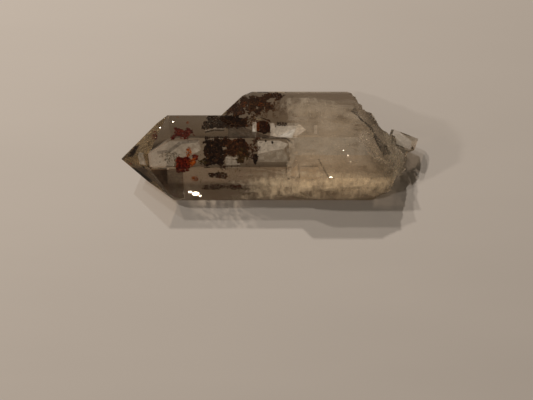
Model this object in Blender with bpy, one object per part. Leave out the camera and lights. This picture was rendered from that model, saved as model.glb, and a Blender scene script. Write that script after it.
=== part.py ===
"""Garden quartz point: a clear quartz crystal lying on its widest prism face, with a second point
grown against its back in the same orientation, a raised growth on the broken half, a rough broken end, and
moss and iron oxide sealed in it.

Units are metres. +X runs from the tip to the broken end, +Y to the second point, +Z up.
The quartz is one natural solid. It is parted in two along a flat plane only because things are sealed in it.
"""

import math
from dataclasses import dataclass

import bmesh
import bpy
from mathutils import Matrix, Vector, noise

MM = 0.001

# Habit of quartz: an ideal termination face leans this far from the long axis.
RHOMB_LEAN = 38.2

# Main point: the long axis, and how far each prism face stands from it.
MAIN_AXIS = (13.2, 8.5)
MAIN_PRISM = {
    "top": (90.0, 9.74),
    "back_upper": (30.0, 8.72),
    "front_upper": (150.0, 8.45),
    "bottom": (270.0, 8.5),
    "back_lower": (330.0, 14.96),
    "front_lower": (210.0, 14.71),
}
MAIN_TIP = (-44.4, 12.2, 10.4)
MAIN_BACK_SHOULDER = (-31.56, 26.85, 2.24)
MAIN_FRONT_SHOULDER = (-29.3, -0.08, 2.24)

# Second point: it shares the main point's directions, and its top is a hair lower.
SECOND_AXIS = (20.0, 8.5)
SECOND_PRISM = {
    "top": (90.0, 9.5),
    "back_upper": (38.0, 7.5),
    "front_upper": (150.0, 7.0),
    "bottom": (270.0, 7.9),
    "back_lower": (330.0, 15.6),
    "front_lower": (210.0, 9.0),
}
SECOND_TOP_START = (2.5, 17.6, 18.2)
SECOND_BACK_START = (-5.5, 27.8, 10.6)
SECOND_FOOT_START = (-8.1, 33.1, 0.9)
SECOND_FOOT_AZIMUTH = 288.0

# Raised growth that thickens the broken half: a point on each of its faces, and the way the face looks out.
RAISED_FACES = (
    ((20.0, 14.0, 24.3), (0.0, 0.0, 1.0)),
    ((20.0, 12.0, 24.3), (0.0, -0.866, 0.5)),
    ((20.0, 6.0, 15.0), (0.0, -0.96, -0.27)),
    ((7.3, 9.0, 18.24), (-0.97, -0.11, 0.22)),
    ((6.0, 17.0, 18.24), (-0.8, 0.575, 0.16)),
    ((20.0, 17.1, 24.3), (0.0, 0.788, 0.616)),
    ((20.0, 14.0, 7.0), (0.0, 0.0, -1.0)),
    ((20.0, 30.0, 9.0), (0.0, 1.0, 0.0)),
)

# Shard of clear quartz left standing on the broken end.
SHARD_CENTRE = (42.2, 17.7, 7.6)
SHARD_HALF = (4.2, 2.6, 2.8)
SHARD_TURN = -20.0
SHARD_FACES = (
    (1.0, 0.0, 0.12),
    (-1.0, 0.0, 0.0),
    (0.0, 1.0, 0.15),
    (0.0, -1.0, 0.1),
    (0.12, 0.05, 1.0),
    (0.1, 0.0, -1.0),
    (0.75, -0.85, 0.1),
    (0.3, 0.75, 0.75),
    (0.65, 0.2, 0.8),
)

# Broken end: where it meets the top face and the foot, from front to back (y, x).
BREAK_TOP = (
    (-2.0, 36.0),
    (6.4, 37.0),
    (9.7, 36.4),
    (12.6, 34.6),
    (16.8, 32.2),
    (20.4, 31.0),
    (22.7, 27.4),
    (25.7, 22.5),
    (36.0, 20.0),
)
BREAK_FOOT = (
    (-2.0, 31.6),
    (0.7, 34.6),
    (2.7, 38.1),
    (7.2, 40.7),
    (7.5, 43.3),
    (10.9, 44.3),
    (15.0, 44.3),
    (20.1, 39.5),
    (23.1, 35.7),
    (27.3, 33.7),
    (27.6, 31.0),
    (29.2, 30.7),
    (33.8, 27.0),
    (36.0, 26.0),
)
BREAK_ROUGHNESS = 0.9
BREAK_LEDGE = 0.55
BREAK_STEP = 0.75
BREAK_SLOPE_ABOVE = 0.9

# The plane that parts the clear quartz falls towards the back, and room is left round what is sealed in it.
PARTING_POINT = (0.0, 13.0, 15.0)
PARTING_FALL = 22.8
HALF_GAP = 0.15
POCKET_ROOM = 0.3

BLOCK_REACH = 70.0
SEED = Vector((3.1, 7.7, 1.9))


@dataclass(frozen=True)
class Face:
    """A flat crystal face: its azimuth about the long axis, its lean from that axis, and a point on it."""

    azimuth: float
    lean: float
    point: tuple

    def normal(self):
        azimuth, lean = math.radians(self.azimuth), math.radians(self.lean)
        return Vector((-math.sin(lean), math.cos(lean) * math.cos(azimuth), math.cos(lean) * math.sin(azimuth)))


@dataclass(frozen=True)
class Inclusion:
    """Something sealed in the quartz: lumpy lobes, each of a centre, a half size and a tilt about the long axis."""

    name: str
    lobes: tuple
    lumpiness: float
    colour: tuple


MOSS_ON_TOP = ((-11.9, 13.2, 14.8), (7.3, 3.3, 2.0), 0.0)
MOSS_AT_BACK = ((-12.0, 19.1, 10.3), (6.2, 6.6, 1.3), -60.0)
MOSS_IN_SECOND = ((-2.2, 25.3, 8.9), (4.8, 3.1, 1.3), -52.0)
FLAKE_PATCH = ((-24.2, 10.9, 15.4), (2.9, 1.9, 1.1), 0.0)
SQUARE_BLOCK = ((-0.8, 20.6, 11.7), (1.8, 1.7, 1.4), 0.0)

INCLUSIONS = (
    Inclusion("moss_main", (MOSS_ON_TOP, MOSS_AT_BACK), 0.3, (0.035, 0.022, 0.012, 1.0)),
    Inclusion("moss_second", (MOSS_IN_SECOND,), 0.3, (0.05, 0.03, 0.015, 1.0)),
    Inclusion("rust_flakes", (FLAKE_PATCH,), 0.3, (0.25, 0.02, 0.01, 1.0)),
    Inclusion("rust_block", (SQUARE_BLOCK,), 0.15, (0.22, 0.06, 0.03, 1.0)),
)


def clear_scene():
    for obj in list(bpy.data.objects):
        bpy.data.objects.remove(obj, do_unlink=True)


def material(name, colour, roughness, transmission=0.0):
    finish = bpy.data.materials.new(name)
    finish.use_nodes = True
    shader = finish.node_tree.nodes["Principled BSDF"]
    shader.inputs["Base Color"].default_value = colour
    shader.inputs["Roughness"].default_value = roughness
    shader.inputs["Metallic"].default_value = 0.0
    shader.inputs["Transmission Weight"].default_value = transmission
    shader.inputs["IOR"].default_value = 1.544
    return finish


def new_object(name, body, finish=None):
    """Makes an object from a bmesh in millimetres, which is freed."""
    mesh = bpy.data.meshes.new(name)
    body.transform(Matrix.Scale(MM, 4))
    body.to_mesh(mesh)
    body.free()
    obj = bpy.data.objects.new(name, mesh)
    bpy.context.scene.collection.objects.link(obj)
    if finish:
        mesh.materials.append(finish)
    return obj


def hide_helper(obj):
    obj.hide_render = True
    obj.display_type = "WIRE"
    return obj


def prism_faces(axis, prism):
    """Prism faces stand along the long axis, at their distances from it."""
    faces = []
    for azimuth, distance in prism.values():
        angle = math.radians(azimuth)
        point = (0.0, axis[0] + distance * math.cos(angle), axis[1] + distance * math.sin(angle))
        faces.append(Face(azimuth, 0.0, point))
    return faces


def main_faces():
    tip_faces = [
        Face(35.8, 29.0, MAIN_TIP),
        Face(96.7, 39.0, MAIN_TIP),
        Face(160.2, 30.2, MAIN_TIP),
        Face(270.0, RHOMB_LEAN, MAIN_TIP),
        Face(330.0, RHOMB_LEAN, MAIN_BACK_SHOULDER),
        Face(210.0, RHOMB_LEAN, MAIN_FRONT_SHOULDER),
    ]
    return prism_faces(MAIN_AXIS, MAIN_PRISM) + tip_faces


def second_faces():
    tip_faces = [
        Face(35.8, 29.0, SECOND_BACK_START),
        Face(96.7, 39.0, SECOND_TOP_START),
        Face(SECOND_FOOT_AZIMUTH, RHOMB_LEAN, SECOND_FOOT_START),
    ]
    return prism_faces(SECOND_AXIS, SECOND_PRISM) + tip_faces


def solid_inside(planes):
    """The solid that lies inside every plane, each given by a point on it and its outward normal."""
    body = bmesh.new()
    bmesh.ops.create_cube(body, size=2 * BLOCK_REACH)
    for point, normal in planes:
        geometry = body.verts[:] + body.edges[:] + body.faces[:]
        cut = bmesh.ops.bisect_plane(
            body, geom=geometry, plane_co=point, plane_no=normal, clear_outer=True, dist=1e-5
        )
        edges = [item for item in cut["geom_cut"] if isinstance(item, bmesh.types.BMEdge)]
        bmesh.ops.edgeloop_fill(body, edges=edges)
    bmesh.ops.recalc_face_normals(body, faces=body.faces)
    return body


def crystal(faces):
    return solid_inside([(face.point, face.normal()) for face in faces])


def between(profile, y):
    """Reads x at y from a profile of (y, x) points."""
    if y <= profile[0][0]:
        return profile[0][1]
    for (y0, x0), (y1, x1) in zip(profile, profile[1:]):
        if y <= y1:
            return x0 + (x1 - x0) * (y - y0) / (y1 - y0)
    return profile[-1][1]


def break_position(y, z, top):
    """Where the broken end stands at this height: shells and ledges over a slope from top to foot."""
    down = min(max((top - z) / top, 0.0), 1.0)
    above = max(z - top, 0.0)
    x = between(BREAK_TOP, y) + (between(BREAK_FOOT, y) - between(BREAK_TOP, y)) * math.sin(down * math.pi / 2)
    x -= BREAK_SLOPE_ABOVE * above
    place = Vector((0.0, y, z))
    coarse = noise.noise(place * 0.22 + SEED)
    fine = noise.fractal(place * 0.55 + SEED, 1.0, 2.1, 3)
    x += BREAK_ROUGHNESS * (coarse + fine)
    ledged = math.floor(x / BREAK_STEP) * BREAK_STEP
    return x + BREAK_LEDGE * (ledged - x)


def break_cutter(rows=54, columns=40):
    """Everything past the broken end: a rough sheet closed by a box behind it."""
    y_low, y_high, z_low, z_high, x_far = -3.0, 37.0, -2.0, 27.0, BLOCK_REACH + 5.0
    top = MAIN_AXIS[1] + MAIN_PRISM["top"][1]
    body = bmesh.new()
    sheet = []
    for i in range(rows + 1):
        y = y_low + (y_high - y_low) * i / rows
        line = []
        for j in range(columns + 1):
            z = z_low + (z_high - z_low) * j / columns
            line.append(body.verts.new((break_position(y, z, top), y, z)))
        sheet.append(line)
    for i in range(rows):
        for j in range(columns):
            body.faces.new((sheet[i][j], sheet[i][j + 1], sheet[i + 1][j + 1], sheet[i + 1][j]))
    rim = [edge for edge in body.edges if edge.is_boundary]
    grown = bmesh.ops.extrude_edge_only(body, edges=rim)["geom"]
    far = [item for item in grown if isinstance(item, bmesh.types.BMVert)]
    for vert in far:
        vert.co.x = x_far
    bmesh.ops.contextual_create(body, geom=[edge for edge in body.edges if edge.is_boundary])
    bmesh.ops.triangulate(body, faces=body.faces)
    bmesh.ops.recalc_face_normals(body, faces=body.faces)
    return hide_helper(new_object("break_cutter", body))


def shard():
    """The clear shard: a turned block with its corners broken away."""
    centre, half = Vector(SHARD_CENTRE), Vector(SHARD_HALF)
    turn = Matrix.Rotation(math.radians(SHARD_TURN), 3, "Z")
    planes = []
    for direction in SHARD_FACES:
        normal = Vector(direction).normalized()
        reach = math.sqrt(sum((normal[k] * half[k]) ** 2 for k in range(3)))
        planes.append((centre + turn @ normal * reach, turn @ normal))
    return solid_inside(planes)


def combine(obj, other, operation):
    """Applies one exact Boolean and deletes the other object."""
    modifier = obj.modifiers.new("combine", "BOOLEAN")
    modifier.operation = operation
    modifier.solver = "EXACT"
    modifier.object = other
    bpy.context.view_layer.update()
    evaluated = obj.evaluated_get(bpy.context.evaluated_depsgraph_get())
    mesh = bpy.data.meshes.new_from_object(evaluated)
    obj.modifiers.clear()
    old = obj.data
    obj.data = mesh
    bpy.data.meshes.remove(old)
    bpy.data.objects.remove(other, do_unlink=True)
    return obj


def lobe_body(lobe, lumpiness, grow, subdivisions=3):
    """One lumpy lobe, grown by a margin."""
    centre, half, tilt = lobe
    body = bmesh.new()
    turn = Matrix.Rotation(math.radians(tilt), 3, "X")
    bmesh.ops.create_icosphere(body, subdivisions=subdivisions, radius=1.0)
    seed = SEED + Vector(centre) * 0.37
    for vert in body.verts:
        direction = vert.co.normalized()
        swell = 1.0 + lumpiness * noise.fractal(direction * 2.3 + seed, 1.0, 2.0, 3)
        reach = Vector([direction[k] * (half[k] * swell + grow) for k in range(3)])
        vert.co = Vector(centre) + turn @ reach
    bmesh.ops.recalc_face_normals(body, faces=body.faces)
    return body


def lump(inclusion, name, grow=0.0, finish=None):
    """The inclusion's body, or its pocket when it is grown: its lobes joined."""
    first, *others = [lobe_body(lobe, inclusion.lumpiness, grow) for lobe in inclusion.lobes]
    whole = new_object(name, first, finish)
    for other in others:
        combine(whole, hide_helper(new_object("lobe", other)), "UNION")
    return whole


def side_of_parting(sign):
    """A block that holds all that lies above (sign 1) or below (sign -1) the parting plane."""
    fall = math.radians(PARTING_FALL)
    upward = Vector((0.0, math.sin(fall), math.cos(fall)))
    body = solid_inside([(Vector(PARTING_POINT) + upward * HALF_GAP * sign, -sign * upward)])
    return hide_helper(new_object("side", body))


def build_quartz():
    """The whole clear quartz: two points and the raised growth joined, broken at one end, with the shard."""
    whole = new_object("quartz", crystal(main_faces()))
    second = hide_helper(new_object("second_point", crystal(second_faces())))
    combine(whole, second, "UNION")
    raised = solid_inside([(Vector(point), Vector(normal).normalized()) for point, normal in RAISED_FACES])
    combine(whole, hide_helper(new_object("raised_growth", raised)), "UNION")
    combine(whole, break_cutter(), "DIFFERENCE")
    combine(whole, hide_helper(new_object("shard", shard())), "UNION")
    return whole


def half_of(whole, name, sign, finish):
    """One half of the quartz, with the pockets cut out of it."""
    part = whole.copy()
    part.data = whole.data.copy()
    part.name = name
    bpy.context.scene.collection.objects.link(part)
    combine(part, side_of_parting(sign), "INTERSECT")
    for inclusion in INCLUSIONS:
        combine(part, hide_helper(lump(inclusion, "pocket", POCKET_ROOM)), "DIFFERENCE")
    part.data.materials.clear()
    part.data.materials.append(finish)
    return part


def settle(objects):
    """Stands the part on z = 0 with its box centred on the origin."""
    corners = [obj.matrix_world @ vert.co for obj in objects for vert in obj.data.vertices]
    low = Vector([min(corner[k] for corner in corners) for k in range(3)])
    high = Vector([max(corner[k] for corner in corners) for k in range(3)])
    shift = Vector(((low.x + high.x) / 2, (low.y + high.y) / 2, low.z))
    for obj in objects:
        obj.data.transform(Matrix.Translation(-shift))


def main():
    clear_scene()
    quartz_finish = material("clear_quartz", (0.9, 0.88, 0.84, 1.0), 0.04, transmission=1.0)
    whole = build_quartz()
    parts = [
        half_of(whole, "quartz_lower", -1, quartz_finish),
        half_of(whole, "quartz_upper", 1, quartz_finish),
    ]
    bpy.data.objects.remove(whole, do_unlink=True)
    for inclusion in INCLUSIONS:
        finish = material(inclusion.name, inclusion.colour, 0.8)
        parts.append(lump(inclusion, inclusion.name, finish=finish))
    settle(parts)


main()
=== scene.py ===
"""Looks of the garden quartz point: a clear crystal with a second point, moss and iron oxide sealed inside.

Sizes are in millimetres in the crystal's own measure, whose origin is the table's point at the middle of
the photo. Every mesh is moved into the frame, in metres, when it is made. Materials work in the frame's
metres.
"""

import logging
import math
import random
from collections.abc import Callable
from dataclasses import dataclass, field
from enum import Enum

import bmesh
import bpy
import numpy as np
from mathutils import Matrix, Vector, noise
from mathutils.bvhtree import BVHTree

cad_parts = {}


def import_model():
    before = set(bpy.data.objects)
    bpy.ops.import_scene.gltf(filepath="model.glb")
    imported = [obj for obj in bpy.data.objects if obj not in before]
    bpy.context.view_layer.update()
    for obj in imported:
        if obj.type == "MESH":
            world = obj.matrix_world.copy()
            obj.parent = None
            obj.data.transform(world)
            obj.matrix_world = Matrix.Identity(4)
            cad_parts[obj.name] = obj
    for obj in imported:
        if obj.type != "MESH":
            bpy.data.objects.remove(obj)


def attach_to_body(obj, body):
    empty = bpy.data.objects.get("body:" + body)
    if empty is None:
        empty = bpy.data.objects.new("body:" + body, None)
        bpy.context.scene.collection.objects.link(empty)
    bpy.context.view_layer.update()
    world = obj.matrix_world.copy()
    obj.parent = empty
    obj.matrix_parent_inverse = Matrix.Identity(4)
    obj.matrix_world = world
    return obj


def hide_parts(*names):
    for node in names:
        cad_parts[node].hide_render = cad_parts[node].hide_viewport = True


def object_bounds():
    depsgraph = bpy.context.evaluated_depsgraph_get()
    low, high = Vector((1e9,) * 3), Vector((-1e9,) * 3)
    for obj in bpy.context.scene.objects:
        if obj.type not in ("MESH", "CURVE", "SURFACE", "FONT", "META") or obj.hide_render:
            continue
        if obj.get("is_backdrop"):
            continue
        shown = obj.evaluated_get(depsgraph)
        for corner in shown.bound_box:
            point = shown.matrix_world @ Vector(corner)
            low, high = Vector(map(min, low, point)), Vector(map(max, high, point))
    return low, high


LOG = logging.getLogger("garden_quartz")

MM = 0.001
QUARTZ_IOR = 1.544
SIDE_ATTRIBUTE = "side"

# The crystal's lowest y in its own measure, and half the edge of the block that its growths are cut from.
FRONT_EDGE_Y = -0.172
BLOCK_REACH = 70.0
BREAK_SEED = Vector((3.1, 7.7, 1.9))

# The pointed faces, each by its azimuth about the long axis and its lean from it, in degrees.
RHOMB_LEAN = 38.2
BACK_TIP = (35.8, 29.0)
TOP_TIP = (96.7, 39.0)
FRONT_TIP = (160.2, 30.2)

# The photo's frame and the camera's place in pixels, and how many millimetres of table a pixel spans.
PHOTO_WIDTH = 533.0
PHOTO_CENTRE = (266.5, 200.0)
MM_PER_PIXEL = 0.32
CAMERA_PIXELS = (0.0, -25.0, 700.0)

# How a polygon of the quartz has to face, as part of its normal, to belong to a side.
LEVEL_FACING = 0.9
TIP_FACING = -0.3
BREAK_FACING = 0.02
BREAK_AREA = 0.6 * MM * MM

# Smallest and largest grains of coarse, fine and dusty patches.
COARSE = (0.08, 0.34)
FINE = (0.04, 0.15)
DUST = (0.03, 0.12)

OCTAHEDRON_CORNERS = np.array([(1, 0, 0), (-1, 0, 0), (0, 1, 0), (0, -1, 0), (0, 0, 1), (0, 0, -1)], float)
OCTAHEDRON_FACES = np.array(
    [(0, 2, 4), (2, 1, 4), (1, 3, 4), (3, 0, 4), (2, 0, 5), (1, 2, 5), (3, 1, 5), (0, 3, 5)]
)

Colour = tuple[float, float, float]
Point = tuple[float, float, float]
Pair = tuple[float, float]
Inputs = dict[str | int, object]
Outline = tuple[Pair, ...]
Halfspace = tuple[Vector, Vector]
Socket = bpy.types.NodeSocket
Material = bpy.types.Material
Piece = bpy.types.Object
Body = bmesh.types.BMesh


class Side(Enum):
    """Which set of the quartz's faces a polygon belongs to."""

    TOP = 0
    BACK = 1
    FRONT = 2
    TIP = 3
    UNDER = 4
    BROKEN = 5


class Mineral(Enum):
    """What the grains sealed in the quartz are made of."""

    BLACK = "moss_black"
    BROWN = "moss_brown"
    OLIVE = "moss_olive"
    TAN = "moss_tan"
    RED = "iron_red"
    ORANGE = "iron_orange"


class Veil(Enum):
    """How the veils and inner planes of the quartz look; some are sheets of painted light or shade."""

    MILKY = "veil_milky"
    PALE = "veil_pale"
    THIN = "veil_thin"
    # White inclusions, and painted light in the clear windows.
    WHITE_AND_PAINTED_LIGHT = "veil_white_and_painted_light"
    BEIGE = "veil_beige"
    HAZE = "veil_haze"
    # Painted shade: a brown sheet for the dark seen through the tip's front.
    PAINTED_TIP_SHADE = "veil_painted_tip_shade"
    GREY = "veil_grey"
    DARK = "veil_dark"


class Measure:
    """Turns the crystal's own millimetres into the frame's metres."""

    def __init__(self, low: Vector, tip_x: float, front_y: float) -> None:
        """Sets where the crystal's own origin lies in the frame.

        Args:
            low: Lowest corner of the CAD model, in metres.
            tip_x: The tip's x in the crystal's own measure.
            front_y: The front edge's y in the crystal's own measure.
        """
        self.shift = Vector((low.x / MM - tip_x, low.y / MM - front_y, 0.0))

    def matrix(self) -> Matrix:
        """Returns the matrix from the crystal's millimetres to the frame's metres."""
        return Matrix.Scale(MM, 4) @ Matrix.Translation(self.shift)

    def place(self, point: Point) -> Vector:
        """Returns a point of the crystal's measure in the frame."""
        return (Vector(point) + self.shift) * MM


class Sight:
    """Follows the photo's lines of sight into the quartz, so that what is sealed in it is placed where it
    is seen.
    """

    STEP_IN = 0.01
    DEPTH_CLEARANCE = 0.2
    LEVEL_CLEARANCE = 0.1

    def __init__(self, quartz: Piece, measure: Measure) -> None:
        """Keeps the quartz's surface and the camera's place, in the crystal's own millimetres.

        Args:
            quartz: The clear piece, in the frame.
            measure: Where the crystal stands in the frame.
        """
        body = bmesh.new()
        body.from_mesh(quartz.data)
        body.transform(measure.matrix().inverted())
        self.surface = BVHTree.FromBMesh(body)
        body.free()
        self.eye = Vector(CAMERA_PIXELS) * MM_PER_PIXEL

    def ray(self, u: float, v: float) -> Vector:
        """Returns the direction in which the photo's pixel looks.

        Args:
            u: Pixel column.
            v: Pixel row.

        Returns:
            The direction, of length one.
        """
        ahead = -Vector(CAMERA_PIXELS)
        across = Vector((1.0, 0.0, 0.0))
        upward = across.cross(ahead).normalized()
        return (ahead + across * (u - PHOTO_CENTRE[0]) + upward * (PHOTO_CENTRE[1] - v)).normalized()

    def enter(self, u: float, v: float) -> tuple[Vector, Vector, float] | None:
        """Follows a pixel's line of sight into the quartz.

        Args:
            u: Pixel column.
            v: Pixel row.

        Returns:
            Where it enters, its bent direction and how far it runs inside, or None if it misses.
        """
        ray = self.ray(u, v)
        place, normal, _, _ = self.surface.ray_cast(self.eye, ray)
        if place is None:
            return None
        facing = -ray.dot(normal)
        ratio = 1.0 / QUARTZ_IOR
        inward = math.sqrt(1.0 - ratio * ratio * (1.0 - facing * facing))
        bent = ratio * ray + (ratio * facing - inward) * normal
        _, _, _, room = self.surface.ray_cast(place + bent * self.STEP_IN, bent)
        return None if room is None else (place, bent, room)

    def reach(self, u: float, v: float, depth: float) -> Vector | None:
        """Returns the point a depth below the surface, or None where the pixel has no such point.

        Args:
            u: Pixel column.
            v: Pixel row.
            depth: How far along the bent line of sight it lies.

        Returns:
            The point, or None.
        """
        path = self.enter(u, v)
        if path is None or path[2] < depth + self.DEPTH_CLEARANCE:
            return None
        return path[0] + path[1] * depth

    def level(self, u: float, v: float, height: float) -> Vector | None:
        """Returns the point of a line of sight at a height, or None where it has none inside.

        Args:
            u: Pixel column.
            v: Pixel row.
            height: Height above the table.

        Returns:
            The point, or None.
        """
        path = self.enter(u, v)
        if path is None:
            return None
        run = (height - path[0].z) / path[1].z
        inside = self.LEVEL_CLEARANCE < run < path[2] - self.LEVEL_CLEARANCE
        return path[0] + path[1] * run if inside else None


def opaque(colour: Colour) -> tuple[float, float, float, float]:
    """Returns a colour with full cover."""
    return (*colour, 1.0)


def grey(level: float, warmth: float = 0.1) -> Colour:
    """Returns a warm grey."""
    return (level, level * (1.0 - warmth * 0.5), level * (1.0 - warmth))


@dataclass(frozen=True)
class Texture:
    """Noise that colours or roughens a material.

    It holds the scale per metre, the number of octaves, the scale of the coordinates along x, y and z, and
    the strength of the finer octaves.
    """

    scale: float
    detail: float
    stretch: Point = (1.0, 1.0, 1.0)
    rough: float = 0.5


@dataclass(frozen=True)
class NodeMaker:
    """Short ways to add and link shader nodes in one material."""

    DULL_SHINE = 0.1

    tree: bpy.types.NodeTree

    def add(self, kind: str, inputs: Inputs | None = None, **settings: object) -> bpy.types.Node:
        """Adds a node, sets its plain properties and fills its inputs.

        Args:
            kind: The node's type name.
            inputs: A value, a colour or the socket to link from, for each named or numbered input.
            **settings: Properties to set on it.

        Returns:
            The new node.
        """
        node = self.tree.nodes.new(kind)
        for name, value in settings.items():
            setattr(node, name, value)
        for name, value in (inputs or {}).items():
            target = node.inputs[name]
            if isinstance(value, Socket):
                self.tree.links.new(value, target)
            else:
                target.default_value = opaque(value) if target.type == "RGBA" else value
        return node

    def noise(self, look: Texture) -> Socket:
        """Makes object-space noise.

        Args:
            look: The noise's sizes.

        Returns:
            The noise value's socket.
        """
        place = self.add("ShaderNodeTexCoord").outputs["Object"]
        mapping = self.add("ShaderNodeMapping", {"Vector": place, "Scale": look.stretch})
        inputs = {
            "Vector": mapping.outputs["Vector"],
            "Scale": look.scale,
            "Detail": look.detail,
            "Roughness": look.rough,
        }
        return self.add("ShaderNodeTexNoise", inputs).outputs["Fac"]

    def along(self, axis: str) -> Socket:
        """Returns one object-space coordinate."""
        place = self.add("ShaderNodeTexCoord").outputs["Object"]
        return self.add("ShaderNodeSeparateXYZ", {"Vector": place}).outputs[axis]

    def math(self, operation: str, *values: object) -> Socket:
        """Works out one operation on values and sockets."""
        return self.add("ShaderNodeMath", dict(enumerate(values)), operation=operation).outputs["Value"]

    def span(self, value: Socket, low: float, high: float, first: float = 0.0, last: float = 1.0) -> Socket:
        """Maps a value from one range to another, clamped."""
        inputs = {"Value": value, "From Min": low, "From Max": high, "To Min": first, "To Max": last}
        return self.add("ShaderNodeMapRange", inputs).outputs["Result"]

    def ramp(self, value: Socket, stops: list[tuple[float, Colour]]) -> Socket:
        """Turns a value into a colour.

        Args:
            value: The socket that drives it.
            stops: Positions and colours, in rising order.

        Returns:
            The colour's socket.
        """
        node = self.add("ShaderNodeValToRGB", {"Fac": value})
        elements = node.color_ramp.elements
        elements[0].position, elements[0].color = stops[0][0], opaque(stops[0][1])
        elements[1].position, elements[1].color = stops[-1][0], opaque(stops[-1][1])
        for position, colour in stops[1:-1]:
            elements.new(position).color = opaque(colour)
        return node.outputs["Color"]

    def blend(self, share: object, first: object, second: object, kind: str = "MIX") -> Socket:
        """Mixes two colours, each given as a value or a socket."""
        inputs = {0: share, 6: first, 7: second}
        return self.add("ShaderNodeMix", inputs, data_type="RGBA", blend_type=kind).outputs[2]

    def bump(self, height: Socket, distance: float, strength: Socket) -> Socket:
        """Makes a bump normal from a height."""
        inputs = {"Height": height, "Distance": distance, "Strength": strength}
        return self.add("ShaderNodeBump", inputs).outputs["Normal"]

    def mix(self, share: object, first: Socket, second: Socket) -> Socket:
        """Mixes two shaders."""
        return self.add("ShaderNodeMixShader", {0: share, 1: first, 2: second}).outputs["Shader"]

    def shader(self, inputs: Inputs) -> Socket:
        """Makes a surface shader from the inputs that differ from their usual values."""
        return self.add("ShaderNodeBsdfPrincipled", inputs).outputs["BSDF"]

    def matter(self, colour: object, roughness: float, glow: float) -> Socket:
        """Makes dull matter that lets a share of the light through.

        Args:
            colour: A colour or its socket.
            roughness: Roughness of its surface.
            glow: The share let through.

        Returns:
            The shader's socket.
        """
        inputs = {"Base Color": colour, "Roughness": roughness, "Specular IOR Level": self.DULL_SHINE}
        through = self.add("ShaderNodeBsdfTranslucent", {"Color": colour}).outputs["BSDF"]
        return self.mix(glow, self.shader(inputs), through)

    def clear(self, inputs: Inputs | None = None) -> Socket:
        """Makes a clear sheet, which bends no light."""
        return self.add("ShaderNodeBsdfTransparent", inputs).outputs["BSDF"]

    def show(self, surface: Socket, volume: Socket | None = None) -> None:
        """Links the material's output.

        Args:
            surface: The surface shader.
            volume: The volume shader, if it has one.
        """
        output = self.tree.nodes["Material Output"]
        self.tree.links.new(surface, output.inputs["Surface"])
        if volume is not None:
            self.tree.links.new(volume, output.inputs["Volume"])


def new_material(name: str) -> tuple[Material, NodeMaker]:
    """Makes a node material with nothing but its output.

    Args:
        name: Material name.

    Returns:
        The material and a node maker for it.
    """
    material = bpy.data.materials.new(name)
    material.use_nodes = True
    tree = material.node_tree
    for node in list(tree.nodes):
        if node.type != "OUTPUT_MATERIAL":
            tree.nodes.remove(node)
    return material, NodeMaker(tree)


@dataclass(frozen=True)
class SideLook:
    """How one side looks: its tip-half tint with painted shade, its milky-half tint, and its surface."""

    tip_half_tone_and_shade: float
    near_break: float
    warmth: float
    lamp_pass: float
    roughness: float = 0.01
    relief: float = 0.1


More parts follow.
